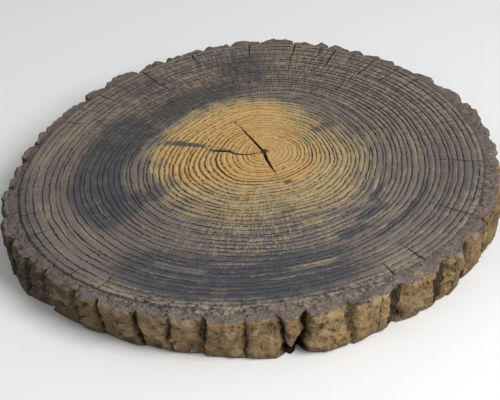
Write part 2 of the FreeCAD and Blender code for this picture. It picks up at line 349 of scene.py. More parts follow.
class StainSettings(bpy.types.PropertyGroup):
    """Colours of the stain."""

    gold: colour("Gold", "Heartwood stain", srgb(214, 172, 108))
    warm: colour("Warm gold", "Orange glow in the heartwood", srgb(216, 168, 96))
    olive: colour("Olive", "Fading edge of the heartwood stain", srgb(184, 162, 118))
    # Pale also paints the highlight beside each ring groove outside the gold
    pale: colour("Pale", "Dry-brushed flecks of the outer wood and of the bark's top", srgb(172, 153, 136))
    mist: colour("Mist", "Thin places in the slate wash", srgb(102, 104, 104))
    # Tan also paints the highlight beside each ring groove in the gold
    tan: colour("Tan", "Dry-brushed ring edges", srgb(168, 150, 118))
    mauve: colour("Mauve brown", "Outer wood", srgb(119, 110, 105))
    slate: colour("Slate", "Dark wash on the wood", srgb(63, 66, 75))
    line: colour("Ring line", "Wash left in the ring grooves", srgb(42, 38, 34))
    gold_line: colour("Heart ring line", "Wash left in the grooves near the heart", srgb(84, 64, 38))
    rim: colour("Rim", "Top of the bark", srgb(112, 100, 96))
    ochre: colour("Ochre", "Face of the bark plates", srgb(166, 134, 88))
    # Crest is a painted highlight along the bark's shoulder, strongest on the lit right and front
    crest_highlight: colour("Crest", "Bright flecks on the shoulder of the bark", srgb(206, 170, 110))
    umber: colour("Umber", "Shaded bark", srgb(100, 80, 57))
    # Dusk is the bark's deepest stain and also the painted shade of the plates on the left side, away from
    # the key light
    dark_stain_and_shade: colour("Dusk", "Deepest stain of the bark", srgb(57, 49, 41))
    # Foot is painted shade at the bottom of the bark, where the stone meets the floor
    foot: colour("Foot", "Foot of the bark plates", srgb(92, 81, 67))
    furrow: colour("Furrow", "Wash left in the furrows", srgb(44, 36, 29))
    concrete: colour("Concrete", "Bare cast underside", srgb(118, 106, 90))
    wood_sand: colour("Wood sand", "Sand that shows on the sawn face", (0.7, 0.65, 0.55))
    bark_sand: colour("Bark sand", "Sand that shows on the bark", (0.8, 0.7, 0.55))


class StageSettings(bpy.types.PropertyGroup):
    """Camera, floor and light."""

    camera_at: spot("Camera", "Camera place", (-0.00383, -1.0772, 0.7757))
    look_at: spot("Target", "Point that the camera faces", (-0.00383, -0.05117, 0.03887))
    lens: number("Lens", "Focal length in millimetres on a 36 mm wide frame", 117.64)
    floor_size: length("Floor size", "Side of the square floor", 8.0)
    floor_tint: colour("Floor tint", "Pale floor", (0.92, 0.92, 0.92))
    sky_tint: colour("Sky tint", "Even light from all round", (1.0, 1.0, 1.0))
    sky_power: number("Sky power", "Strength of the even light", 0.36)
    key_at: spot("Key light", "Place of the main softbox", (0.9, -0.7, 1.2))
    key_side: length("Key side", "Side of the main softbox", 0.9)
    key_power: number("Key power", "Watts of the main softbox", 22.0)
    fill_at: spot("Fill light", "Place of the second softbox", (-1.1, -0.5, 1.1))
    fill_side: length("Fill side", "Side of the second softbox", 1.2)
    fill_power: number("Fill power", "Watts of the second softbox", 1.5)


def log_radius(size, bearing):
    """Radius of the slice under its bark plates, at bearings in degrees."""
    oval = size.oval_stretch * np.cos(2 * np.radians(bearing - size.oval_bearing))
    lobes = size.lobe_swell * np.cos(3 * np.radians(bearing - size.lobe_bearing))
    return size.log_radius + oval + lobes


def ring_share(size, ring):
    """Share of the way from the heart to the bark of a ring number, whole or not."""
    whole = round(ring)
    uneven = RING_UNEVEN * draw(RING_SEED * whole) if 0 < whole < size.rings else 0.0
    part = (ring + uneven) / size.rings
    return part * (1 - size.ring_spread + size.ring_spread * part)


def noise_field(points, grain, octaves=1):
    """Smooth noise of about -1 to 1 at each point, with features about as large as grain."""
    scaled = points / grain
    return np.array([noise.fractal(Vector(p), 1.0, 2.0, octaves) for p in scaled])


def ring_points(size, share, bearing, offset=0.0):
    """Plan points of a ring, which wander a little as a tree's rings do."""
    turn = np.radians(bearing)
    broad = np.sin(BROAD_WAVES * turn + math.radians(BROAD_TURN * share))
    close = np.sin(CLOSE_WAVES * turn - math.radians(CLOSE_TURN * share))
    wander = size.ring_wave * math.sin(math.pi * share) * (broad + CLOSE_SHARE * close)
    out = np.full_like(turn, KINKS_OUT * share)
    around = np.stack([KINKS_ROUND * np.cos(turn), KINKS_ROUND * np.sin(turn), out], 1)
    wander += size.ring_kink * min(1.0, 3 * share) * noise_field(around, 1.0, 2)
    thinning = (size.bark_width - size.thin_bark) / 2
    thinning *= (1 + np.cos(turn - math.radians(size.thin_bearing))) * share**6
    lean = size.pith_lean * math.exp(-((share / size.pith_spread) ** 2))
    bulge = 1 + lean * np.cos(turn - math.radians(size.pith_bearing))
    wood = share * (log_radius(size, bearing) - size.bark_width) + thinning
    radius = wood * bulge + wander + offset
    x = size.axis_x + size.heart_x * (1 - share) + size.wood_x * share
    y = size.axis_y + size.heart_y * (1 - share) + size.wood_y * share
    return x + radius * np.cos(turn), y + radius * np.sin(turn)


def columns_between(anchors, total, flank):
    """How many columns each gap between neighbouring anchors gets."""
    gaps = np.diff(np.append(anchors, anchors[0] + FULL_TURN))
    return np.maximum(2 * flank + 2, np.round(total * gaps / FULL_TURN).astype(int))


def spread(anchors, reach, counts, flank):
    """Bearings of one row, how far each point lies down a flank, and the anchor of that flank.

    An anchor is the floor of a crack or furrow, and reach the bearing from there to its lips.
    """
    bearing, fall, owner = [], [], []
    climb = np.arange(flank) / flank
    for i, left in enumerate(anchors):
        after = (i + 1) % len(anchors)
        right = anchors[after] + (FULL_TURN if after == 0 else 0)
        lips = np.linspace(left + reach[i], right - reach[after], counts[i] - 2 * flank + 1)
        down = climb[1:][::-1]
        bearing += [left + reach[i] * climb, lips, right - reach[after] * down]
        fall += [1 - climb, np.zeros(len(lips)), 1 - down]
        owner += [np.full(flank + len(lips), i), np.full(len(down), after)]
    return np.concatenate(bearing), np.concatenate(fall), np.concatenate(owner)


def turn_from(bearing, towards):
    """Degrees from one bearing to others, between -180 and 180."""
    return (bearing - towards + 180) % FULL_TURN - 180


def draw(seed):
    """A fixed random number of -1 to 1."""
    return noise.cell(Vector((seed, 0.5, 0.5)))


def by_bearing(table, bearing):
    """A value of a table that is listed by bearing."""
    return np.interp(bearing % FULL_TURN, *zip(*table))


def patch_depth(patches, level, bearing):
    """How strongly a list of patches covers points. A level is a share of the face, or a height."""
    depth = np.zeros(len(bearing))
    for middle, half, towards, spread_half, strength in patches:
        along = (level - middle) / half
        turn = turn_from(bearing, towards) / spread_half
        depth = np.maximum(depth, strength * np.exp(-(along**4) - turn**4))
    return depth


def gold_depth(share, bearing):
    """Gold stain, with a crisp edge at the back left and a long fade elsewhere."""
    wrapped = turn_from(bearing, 0)
    reach = np.interp(wrapped, *zip(*GOLD_REACH))
    crisp = np.clip((np.cos(np.radians(wrapped - GOLD_CRISP)) + 0.3) / 0.8, 0, 1)
    fade = GOLD_FADE - GOLD_FADE_LOSS * crisp
    return np.clip(GOLD_AT_REACH + (reach - share) / fade, 0, 1)


def quads(total, start, after):
    """Faces between two rows with as many points."""
    this = np.arange(total)
    following = np.roll(this, -1)
    corners = [start + this, after + this, after + following, start + following]
    return np.stack(corners, 1).tolist()


def zipper(low, high, start, after):
    """Triangles between two rows with different numbers of points, taken in order of bearing."""
    a, b = low % FULL_TURN, high % FULL_TURN
    first, second = int(np.argmin(a)), int(np.argmin(b))
    faces, i, j = [], 0, 0
    while i < len(a) or j < len(b):
        p, q = (first + i) % len(a), (second + j) % len(b)
        next_p, next_q = (first + i + 1) % len(a), (second + j + 1) % len(b)
        reach_p = a[next_p] if i + 1 < len(a) else FULL_TURN + a[first]
        reach_q = b[next_q] if j + 1 < len(b) else FULL_TURN + b[second]
        if j >= len(b) or (i < len(a) and reach_p <= reach_q):
            faces.append((start + p, after + q, start + next_p))
            i += 1
        else:
            faces.append((start + p, after + q, after + next_q))
            j += 1
    return faces


class Rows:
    """Closed rows of points from the heart out, over the bark and under the stone."""

    FIELDS = (
        "ring", "crack", "gold", "warm", "slate", "woven", "coarse", "smooth", "furrow", "wide", "rim",
        "inner", "crease", "ticks", "tone", "shade", "rise",
    )

    def __init__(self):
        self.points, self.bearings, self.finish = [], [], []
        self.fields = {name: [] for name in self.FIELDS}

    def add(self, bearing, x, y, z, finish, **fields):
        self.points.append(np.stack(np.broadcast_arrays(x, y, z), 1))
        self.bearings.append(np.asarray(bearing))
        self.finish.append(finish)
        for name in self.FIELDS:
            values = np.broadcast_to(fields.get(name, 0.0), len(bearing))
            self.fields[name].append(np.array(values, float))

    def mesh(self, name):
        """One closed mesh, with a middle point at each end."""
        faces, finish, start = [], [], 0
        for n in range(len(self.points) - 1):
            low, high = self.bearings[n], self.bearings[n + 1]
            after = start + len(low)
            alike = len(low) == len(high)
            made = quads(len(low), start, after) if alike else zipper(low, high, start, after)
            faces += made
            finish += [self.finish[n + 1]] * len(made)
            start = after
        ends = []
        total = start + len(self.points[-1])
        for row, centre, at in ((0, total, 0), (-1, total + 1, start)):
            this = at + np.arange(len(self.points[row]))
            pair = (np.roll(this, -1), this) if row else (this, np.roll(this, -1))
            faces += [(centre, int(a), int(b)) for a, b in zip(*pair)]
            finish += [self.finish[row]] * len(this)
            ends.append(self.points[row].mean(0))
        mesh = bpy.data.meshes.new(name)
        mesh.from_pydata(np.concatenate(self.points + [np.array(ends)]).tolist(), [], faces)
        mesh.polygons.foreach_set("material_index", finish)
        mesh.polygons.foreach_set("use_smooth", [True] * len(faces))
        for field, values in self.fields.items():
            layer = mesh.attributes.new(field, "FLOAT", "POINT")
            middles = [values[0].max(), values[-1].max()]
            layer.data.foreach_set("value", np.concatenate(values + [np.array(middles)]))
        mesh.set_sharp_from_angle(angle=math.radians(SHARP_TURN))
        mesh.update()
        return mesh


def heart_cracks_at(away):
    """Bearing and half width of each crack arm at a distance from the heart."""
    bearings, halves = [], []
    for arm in HEART_CRACKS:
        distance, bearing, width = zip(*arm)
        bearings.append(np.interp(away, distance, bearing))
        halves.append(np.interp(away, distance, width, left=0.0) / 2)
    return np.array(bearings), np.array(halves)


def add_heartwood(rows, size, top, rings, total):
    """Rings that the heart's cracks run through."""
    counts = columns_between(heart_cracks_at(CRACK_MIDDLE)[0], total, 1)
    for ring, floor in rings:
        share = ring_share(size, ring)
        away = share * (size.log_radius - size.bark_width)
        anchors, half = heart_cracks_at(away)
        cut = np.degrees(np.arcsin(np.minimum(0.8, half / away)))
        reach = np.where(half > HEART_CLOSED, cut, FULL_TURN / total)
        depth = size.heart_crack_depth * np.minimum(1.0, half / HEART_FULL) ** 0.7
        bearing, fall, owner = spread(anchors, reach, counts, 1)
        add_wood_row(rows, size, top, ring, share, floor, bearing, fall, depth[owner] * fall)


def add_outer_wood(rows, size, top, rings, total):
    """Rings that the checks from the bark run into."""
    anchors = np.array([check[0] for check in RIM_CHECKS], float)
    reaches = np.array([check[1] for check in RIM_CHECKS])
    counts = columns_between(anchors, total, 1)
    for ring, floor in rings:
        share = ring_share(size, ring)
        radius = log_radius(size, anchors) - size.bark_width
        left = np.clip(1 - (1 - share) * radius / reaches, 0, 1)
        half = size.check_width / 2 * left**0.4
        reach = np.where(half > CHECK_CLOSED, np.degrees(half / radius), FULL_TURN / total)
        index = np.arange(len(anchors))
        along = np.stack([9.1 * index, np.full(len(index), ring / 3.0), 0.0 * index], 1)
        crooked = anchors + size.check_stray * noise_field(along, 1.0, 2)
        bearing, fall, owner = spread(crooked, reach, counts, 1)
        depth = size.check_depth * left[owner] ** 0.5 * fall
        add_wood_row(rows, size, top, ring, share, floor, bearing, CHECK_DARK * fall, depth)


def add_wood_row(rows, size, top, ring, share, floor, bearing, fall, depth):
    """One row of the sawn face. floor is 1 in a ring's groove and 0 on its lips."""
    x, y = ring_points(size, share, bearing)
    places = np.stack([x, y, np.full_like(x, top)], 1)
    uneven = GROOVE_MEAN + GROOVE_SWING * noise_field(places + ring, GROOVE_GRAIN)
    rough = SAW_ROUGH * noise_field(places, SAW_GRAIN)
    shift = STAIN_WANDER * noise_field(places, WANDER_GRAIN, 2)
    smooth = np.minimum(1.0, patch_depth(SMOOTH, share + shift, bearing))
    slate = patch_depth(SLATE_STAINS, share + shift, bearing + WANDER_TURN * shift)
    slate = slate - patch_depth(RUBBED, share + 0.3 * shift, bearing + WANDER_TURN * shift)
    groove = floor * size.groove_depth * uneven * (1 - GROOVE_WORN * smooth)
    z = top - np.maximum(groove, depth) - np.abs(rough)
    rows.add(
        bearing, x, y, z, SAWN,
        ring=ring,
        crack=np.where(depth > CRACK_DARK, fall, 0.0),
        gold=gold_depth(share + 2 * shift, bearing),
        warm=patch_depth(WARM_STAINS, share + shift, bearing),
        slate=slate,
        woven=patch_depth(WOVEN, share, bearing),
        coarse=patch_depth(COARSE, share, bearing),
        smooth=smooth,
        rim=1.0,
        inner=1.0,
        crease=by_bearing(CREASE, bearing),
        ticks=by_bearing(TICKS, bearing),
    )


class BarkWall:
    """The frame's bark edge, felt from outside, and the furrows found in it."""

    # Heights near the foot, halfway and near the shoulder
    LOW, BELLY, HIGH = 0.006, 0.022, 0.033

    # First bearing, number of bearings, and a distance well outside the stone
    SEAM, STEPS, OUTSIDE = 3.5, 3600, 0.4

    # Half width in degrees within which a furrow is lowest, and its least depth
    WINDOW, LEAST = 1.2, 0.0008

    def __init__(self, size):
        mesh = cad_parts[STONE].data
        corners = [v.co.copy() for v in mesh.vertices]
        self.tree = BVHTree.FromPolygons(corners, [list(p.vertices) for p in mesh.polygons])
        self.axis = np.array([size.axis_x, size.axis_y])
        self.around = self.SEAM + FULL_TURN * np.arange(self.STEPS) / self.STEPS
        self.low = self.floors(self.LOW)
        self.high = self.floors(self.HIGH)
        if len(self.low) != len(self.high):
            raise RuntimeError("the furrows at the foot and at the shoulder do not pair up")

    def radius(self, bearing, height):
        """Distance from the log axis to the wall at bearings and one height."""
        found = []
        for turn in np.radians(bearing):
            way = Vector((math.cos(turn), math.sin(turn), 0))
            source = Vector((self.axis[0], self.axis[1], height)) + self.OUTSIDE * way
            hit = self.tree.ray_cast(source, -way)
            if hit[0] is None:
                raise RuntimeError("the frame has no wall at this height")
            found.append(self.OUTSIDE - hit[3])
        return np.array(found)

    def floors(self, height):
        """Bearings of the furrow floors at one height."""
        radius = self.radius(self.around, height)
        window = int(self.STEPS * self.WINDOW / FULL_TURN)
        shifted = [np.roll(radius, s) for s in range(-window, window + 1) if s]
        lowest = np.all([radius <= other for other in shifted], axis=0)
        rise = np.max(shifted, axis=0) - radius
        places = np.flatnonzero(lowest & (rise > self.LEAST))
        kept = [p for n, p in enumerate(places) if n == 0 or p - places[n - 1] > window // 2]
        return self.around[kept]

    def at(self, height):
        """Bearings of the furrow floors at any height."""
        share = (height - self.LOW) / (self.HIGH - self.LOW)
        return self.low + (self.high - self.low) * share


def flake_relief(points):
    """Step and tilt of each bark flake, and how near a point is to the joint between two flakes."""
    steps, tilts, joints = [], [], []
    for p in points / np.array(FLAKE_SIZE):
        place = Vector(p)
        distances, middles = noise.voronoi(place)
        steps.append(noise.cell(middles[0] * 7.3))
        way = noise.cell_vector(middles[0] * 5.9) * 2 - Vector((1, 1, 1))
        tilts.append((place - middles[0]).dot(way))
        joints.append(distances[1] - distances[0])
    joints = np.clip(1 - np.array(joints) / FLAKE_JOINT, 0, 1)
    return np.array(steps), np.array(tilts), joints


def bark_relief(size, points, furrow, wall):
    """How far the bark stands out from the frame, and how far from its own broad shape.

    Lumps, flakes, grit and pits cover it, and the furrows are combed out.
    """
    wobble = FLAKE_WANDER * noise_field(points + 3.0, FLAKE_WANDER_GRAIN, 2)
    steps, tilts, joints = flake_relief(points + wobble[:, None])
    lumps = noise_field(points, LUMP_GRAIN, 2)
    knobs = noise_field(points + 2.0, KNOB_GRAIN, 2)
    grit = noise_field(points, GRIT_GRAIN, 2)
    pits = np.clip(noise_field(points + 1.0, PIT_GRAIN) - PIT_START, 0, 1)
    combed = noise_field(points * np.array(COMB_STRETCH), COMB_GRAIN, 2)
    rise = size.flake * (0.6 + 0.4 * wall) * (1 - furrow) * (0.35 * steps + 0.9 * tilts - 0.3 * joints)
    rise += size.knob * knobs + size.grit * (grit + 0.8 * combed * wall) - PIT_DEPTH * pits
    out = size.lump * lumps * (0.35 + 0.65 * wall) + rise
    out -= furrow * wall * (size.furrow_extra + COMB_DEPTH * combed)
    return out, rise


def furrow_habits(size, anchors):
    """Each furrow's shift in degrees, share of the frame's depth, half width there and half width here."""
    aside, cast = np.zeros(len(anchors)), np.full(len(anchors), size.furrow_half)
    own = cast.copy()
    force = np.array([FURROW_FORCE + FORCE_SWING * draw(FURROW_SEED * i) for i in range(len(anchors))])
    for bearing, *habits in FURROWS:
        nearest = int(np.argmin(np.abs(turn_from(anchors, bearing))))
        aside[nearest], force[nearest], cast[nearest], own[nearest] = habits
    return aside, force, cast, own


def bark_profile(size, top):
    """Stations over the bark: height, share of the way and lean of the surface.

    The share is 0 at the wood, 1 at the rim and 2 from the shoulder's foot down. Lean is 0 on the flat
    top and 1 on the upright wall.
    """
    rim = top - size.bark_step
    stations = [(rim, share, 0.0) for share in np.linspace(0.0, 1.0, TOP_ROWS)[:-1]]
    bend = np.linspace(0, math.pi / 2, SHOULDER_ROWS)
    stations += [(rim - size.shoulder * (1 - math.cos(a)), 1.0 + math.sin(a), math.sin(a)) for a in bend]
    walls = np.linspace(rim - size.shoulder, 0.0, WALL_ROWS)[1:]
    stations += [(height, 2.0, 1.0) for height in walls]
    return stations


class Furrows:
    """The bark's furrows, one entry for each."""

    def __init__(self, size, total):
        self.wall = BarkWall(size)
        anchors = self.wall.at(self.wall.BELLY)
        self.index = np.arange(len(anchors))
        self.aside, self.force, self.cast_half, self.half = furrow_habits(size, anchors)
        self.counts = columns_between(anchors + self.aside, total, FLANK)
        self.tones = np.array([draw(PLATE_SEED * i) for i in self.index])


class BarkRow:
    """Bearings of a row round the bark at one height, and the furrows that it crosses."""

    def __init__(self, size, furrows, height, rim):
        index, self.wall = furrows.index, furrows.wall
        along = np.stack([3.3 * index, np.full(len(index), height / STRAY_GRAIN), 0.0 * index], 1)
        stray = noise_field(along, 1.0, 3) * min(1.0, (rim - height) / STRAY_START)
        ragged = 1.0 + LIP_RAGGED * noise_field(along + 50.0, 1.0, 3)
        cast_floors = self.wall.at(height)
        floors = cast_floors + furrows.aside + np.degrees(size.furrow_stray * stray / size.log_radius)
        opened = np.interp(height, *zip(*FURROW_OPEN))
        cut = np.degrees(furrows.cast_half * opened / size.log_radius)
        reach = np.degrees(furrows.half * opened * ragged / size.log_radius)
        self.bearing, self.fall, owner = spread(floors, reach, furrows.counts, FLANK)
        self.lips = np.concatenate([floors - reach, floors + reach])
        self.cast_lips = np.concatenate([cast_floors - cut, cast_floors + cut])
        knots = np.concatenate([self.lips, floors])
        slips = np.concatenate([self.cast_lips, cast_floors]) - knots
        self.slip = np.interp(self.bearing, knots, slips, period=FULL_TURN)
        self.filled = size.toe_fill * max(0.0, 1.0 - height / size.toe_height)
        self.crown = by_bearing(PLATE_CROWN, self.bearing)
        self.force, self.tone = furrows.force[owner], furrows.tones[owner]
        self.gaping = furrows.half[owner] > size.wide_half

    def edge_at(self, level):
        """The frame's edge with flatter plates and each furrow at its own place and depth."""
        cast = self.wall.radius(self.cast_lips, level)
        line = np.interp(self.bearing, self.lips, cast, period=FULL_TURN)
        beyond = self.wall.radius(self.bearing + self.slip, level) - line
        return line + beyond * np.where(beyond > 0, self.crown, self.force * (1 - self.filled))


def wood_outline(size):
    """Bearings and distances from the log axis of the edge between wood and bark."""
    around = np.arange(0.0, FULL_TURN, 0.5)
    x, y = ring_points(size, 1.0, around, size.bark_step / 2)
    x, y = x - size.axis_x, y - size.axis_y
    return np.degrees(np.arctan2(y, x)), np.hypot(x, y)


def bark_radius(size, row, outline, rim, height, share):
    """Distance from the log axis to the bark on its top, shoulder or wall, before its relief."""
    if share == 2.0:
        flare = max(0.0, 1.0 - height / size.flare_height) ** FLARE_CURVE
        return row.edge_at(max(height, HAIR)) + flare * by_bearing(FOOT_FLARE, row.bearing)
    edge = row.edge_at(rim - HAIR)
    if share > 1.0:
        return edge + (row.edge_at(rim - size.shoulder) - edge) * (share - 1.0)
    wood = np.interp(row.bearing, *outline, period=FULL_TURN)
    return wood + (edge - wood) * share


def add_bark(rows, size, top, total):
    """Bark from the edge of the wood over the shoulder and down to the foot."""
    furrows = Furrows(size, total)
    outline = wood_outline(size)
    rim = top - size.bark_step
    for height, share, lean in bark_profile(size, top):
        row = BarkRow(size, furrows, height, rim)
        radius = bark_radius(size, row, outline, rim, height, share)
        add_bark_row(rows, size, top, row, radius, height, share, lean)


def add_bark_row(rows, size, top, row, radius, height, share, lean):
    """One row of the bark, with its relief and the fields of its stain."""
    bearing, rim = row.bearing, top - size.bark_step
    turn = np.radians(bearing)
    furrow = np.minimum(1.0, row.fall * np.where(row.gaping, GAPING_SPREAD, 1.0))
    furrow *= lean * np.clip((rim - height + WASH_HEAD) / WASH_RUN, 0.0, 1.0)
    flat = np.stack([radius * np.cos(turn), radius * np.sin(turn), np.full_like(turn, height)], 1)
    out, rise = bark_relief(size, flat, furrow * row.force, lean)
    hollow = patch_depth(HOLLOWS, height, bearing)
    out = (out - hollow) * min(1.0, height / FOOT_EASE if lean == 1.0 else INNER_RELIEF + share)
    radius = radius + out * lean
    slope = share**SLOPE_CURVE if share <= 1.0 else 2.0 - share
    z = height - slope * by_bearing(RIM_SLOPE, bearing) + out * math.sqrt(1 - lean * lean)
    darkness = np.where(row.gaping, 1.0, np.minimum(1.0, 0.2 + 0.75 * row.force))
    rows.add(
        bearing,
        size.axis_x + radius * np.cos(turn),
        size.axis_y + radius * np.sin(turn),
        np.clip(z, 0.0, top),
        BARK,
        ring=size.rings,
        furrow=np.maximum(furrow * darkness, hollow / HOLLOW_DARK),
        wide=np.where(row.gaping, 1.0, 0.0),
        rim=np.clip((height - rim + CAP_DEPTH) / CAP_DEPTH, 0, 1),
        inner=max(0.0, 1.0 - share),
        crease=by_bearing(CREASE, bearing),
        ticks=by_bearing(TICKS, bearing),
        tone=row.tone,
        # shade: painted shade on the side away from the key light, with the bark's own darker stain
        shade=by_bearing(BARK_SHADE, bearing),
        rise=rise / RELIEF_UNIT,
    )


def add_underside(rows, size):
    """Flat cast underside, in to its middle."""
    foot = rows.points[-1]
    bearing = rows.bearings[-1]
    middle = np.array([size.axis_x, size.axis_y])
    for share in SOLE_EDGE:
        inward = middle + (foot[:, :2] - middle) * share
        rows.add(bearing, inward[:, 0], inward[:, 1], 0.0, UNDERSIDE)
    coarse = FULL_TURN * np.arange(SOLE_COLUMNS) / SOLE_COLUMNS + bearing[0]
    turn = np.radians(coarse)
    for share in SOLE_INNER:
        radius = share * log_radius(size, coarse)
        x, y = middle[0] + radius * np.cos(turn), middle[1] + radius * np.sin(turn)
        rows.add(coarse, x, y, 0.0, UNDERSIDE)


def ring_stations(size, first, last):
    """Ring numbers of the rows of each ring, with 1 for its groove's floor and 0 for its lips."""
    half = size.groove_width / 2
    return [
        (ring + step, floor) for ring in range(first, last + 1) for step, floor in
        ((-half, 0.0), (0.0, 1.0), (half, 0.0))
    ]


def build_slice(size):
    """The stone as one closed mesh."""
    top = CAD_HIGH.z
    rows = Rows()
    add_heartwood(rows, size, top, ring_stations(size, 1, HEART_LAST), HEART_COLUMNS)
    add_heartwood(rows, size, top, ring_stations(size, HEART_LAST + 1, MIDDLE_LAST), MIDDLE_COLUMNS)
    add_outer_wood(rows, size, top, ring_stations(size, MIDDLE_LAST + 1, size.rings)[:-1], OUTER_COLUMNS)
    add_bark(rows, size, top, BARK_COLUMNS)
    add_underside(rows, size)
    return rows.mesh("log_slice")


class Nodes:
    """A shader tree, with short names for the nodes that are used most."""

    def __init__(self, tree):
        self.tree = tree

    def join(self, socket, value):
        """Links a socket, or sets its value."""
        if isinstance(value, bpy.types.NodeSocket):
            self.tree.links.new(value, socket)
        elif socket.type == "RGBA":
            socket.default_value = (*value[:3], 1.0)
        else:
            socket.default_value = value

    def put(self, kind, inputs=None, **settings):
        """Adds a node with its settings and inputs."""
        made = self.tree.nodes.new(kind)
        for name, value in settings.items():
            setattr(made, name, value)
        for socket, value in (inputs or {}).items():
            self.join(made.inputs[socket], value)
        return made

    def calc(self, operation, *values, clamp=False):
        inputs = dict(enumerate(values))
        return self.put("ShaderNodeMath", inputs, operation=operation, use_clamp=clamp).outputs[0]

    def times(self, first, *others):
        for value in others:
            first = self.calc("MULTIPLY", first, value)
        return first

    def plus(self, first, second):
        return self.calc("ADD", first, second)

    def less(self, first, second):
        return self.calc("SUBTRACT", first, second)

    def most(self, first, *others):
        for value in others:
            first = self.calc("MAXIMUM", first, value)
        return first

    def ramp(self, value, slope, start, clamp=False):
        """start plus slope times a value."""
        return self.calc("MULTIPLY_ADD", value, slope, start, clamp=clamp)

    def sum(self, start, *weighed):
        """start plus each value times its weight."""
        for value, weight in weighed:
            start = self.ramp(value, weight, start)
        return start

    def step(self, value, low, high):
        """0 at low, 1 at high and smooth between."""
        inputs = {0: value, 1: low, 2: high}
        return self.put("ShaderNodeMapRange", inputs, interpolation_type="SMOOTHSTEP").outputs[0]

    def vector(self, operation, *values):
        return self.put("ShaderNodeVectorMath", dict(enumerate(values)), operation=operation).outputs[0]

    def mix(self, share, first, second):
        """Two colours mixed by a share."""
        return self.put("ShaderNodeMix", {0: share, 6: first, 7: second}, data_type="RGBA").outputs[2]

    def layer(self, under, tint, mask, strength):
        """A colour laid over another where a mask shows it."""
        return self.mix(self.times(mask, strength), under, tint)

    def blotch(self, place, scale, detail=2.0, roughness=0.5):
        """Noise of 0 to 1 over a place vector."""
        inputs = {"Vector": place, "Scale": scale, "Detail": detail, "Roughness": roughness}
        return self.put("ShaderNodeTexNoise", inputs).outputs[0]

    def uneven(self, *noise_inputs):
        """The same noise about 0."""
        return self.less(self.blotch(*noise_inputs), 0.5)

    def field(self, name):
        """A number carried by the mesh."""
        return self.put("ShaderNodeAttribute", attribute_name=name).outputs["Fac"]

    def place(self):
        return self.put("ShaderNodeTexCoord").outputs["Object"]

    def use(self, group, **inputs):
        """A node group with its inputs."""
        return self.put("ShaderNodeGroup", inputs, node_tree=group.tree).outputs

    def bump(self, shader, height, distance, strength):
        inputs = {"Height": height, "Distance": distance, "Strength": strength}
        self.join(shader.inputs["Normal"], self.put("ShaderNodeBump", inputs).outputs[0])


def new_group(name, inputs, outputs):
    """A shader node group with named sockets, its inner input and its inner output."""
    group = Nodes(bpy.data.node_groups.new(name, "ShaderNodeTree"))
    for socket, kind, default in inputs:
        made = group.tree.interface.new_socket(socket, in_out="INPUT", socket_type=kind)
        made.default_value = default
    for socket, kind in outputs:
        group.tree.interface.new_socket(socket, in_out="OUTPUT", socket_type=kind)
    return group, group.put("NodeGroupInput").outputs, group.put("NodeGroupOutput").inputs


def grain_group():
    """Sandy grain and small air holes of cast concrete."""
    group, given, out = new_group(
        "Cast grain",
        [("Grain", FLOAT, 900.0), ("Holes", FLOAT, 0.3)],
        [("Height", FLOAT), ("Holes", FLOAT), ("Speckle", FLOAT)],
    )
    place = group.place()
    sand = group.blotch(place, given["Grain"], 3.0, 0.6)
    coarse = group.blotch(place, group.times(given["Grain"], 0.28), 2.0, 0.5)
    cell_size = group.times(given["Grain"], 0.30)
    cells = group.put("ShaderNodeTexVoronoi", {"Vector": place, "Scale": cell_size})
    rare = group.blotch(place, 70.0, 2.0)
    near = group.less(group.times(given["Holes"], rare), cells.outputs["Distance"])
    holes = group.step(near, 0.0, 0.08)
    raised = group.plus(group.times(sand, 0.6), group.times(coarse, 0.5))
    group.join(out["Height"], group.less(raised, holes))
    group.join(out["Holes"], holes)
    group.join(out["Speckle"], group.step(sand, 0.35, 0.65))
    return group


def wash_group():
    """A second pigment that has pooled unevenly over a first."""
    group, given, out = new_group(
        "Pigment wash",
        [
            ("Colour", COLOUR, (0.5, 0.5, 0.5, 1)),
            ("Wash", COLOUR, (0.1, 0.1, 0.1, 1)),
            ("Amount", FLOAT, 0.5),
            ("Scale", FLOAT, 60.0),
        ],
        [("Colour", COLOUR)],
    )
    cloud = group.blotch(group.place(), given["Scale"], 4.0, 0.65)
    pooled = group.plus(group.less(cloud, 0.5), given["Amount"])
    share = group.step(pooled, 0.30, 0.72)
    group.join(out["Colour"], group.mix(share, given["Colour"], given["Wash"]))
    return group


def clump_group():
    """Crumbling joint of wood and bark: pale flecks, and pits between them."""
    group, given, out = new_group(
        "Crumbled joint",
        [("Amount", FLOAT, 0.5)],
        [("Flecks", FLOAT), ("Pits", FLOAT)],
    )
    place = group.place()
    lumps = group.ramp(given["Amount"], 0.16, group.blotch(place, 150.0, 3.0, 0.65))
    patchy = group.ramp(group.step(group.blotch(place, 46.0, 2.0), 0.42, 0.58), 0.6, 0.4)
    flecks = group.times(group.step(lumps, 0.58, 0.66), given["Amount"], patchy, 0.85)
    holes = group.step(group.blotch(place, 290.0, 2.0, 0.6), 0.52, 0.61)
    group.join(out["Flecks"], flecks)
    group.join(out["Pits"], group.times(holes, given["Amount"], 0.9))
    return group


def new_material(name):
    """An empty material with a matte shader."""
    material = bpy.data.materials.new(name)
    material.use_nodes = True
    shader = material.node_tree.nodes["Principled BSDF"]
    shader.inputs["Specular IOR Level"].default_value = MATTE_SPECULAR
    return material, Nodes(material.node_tree), shader


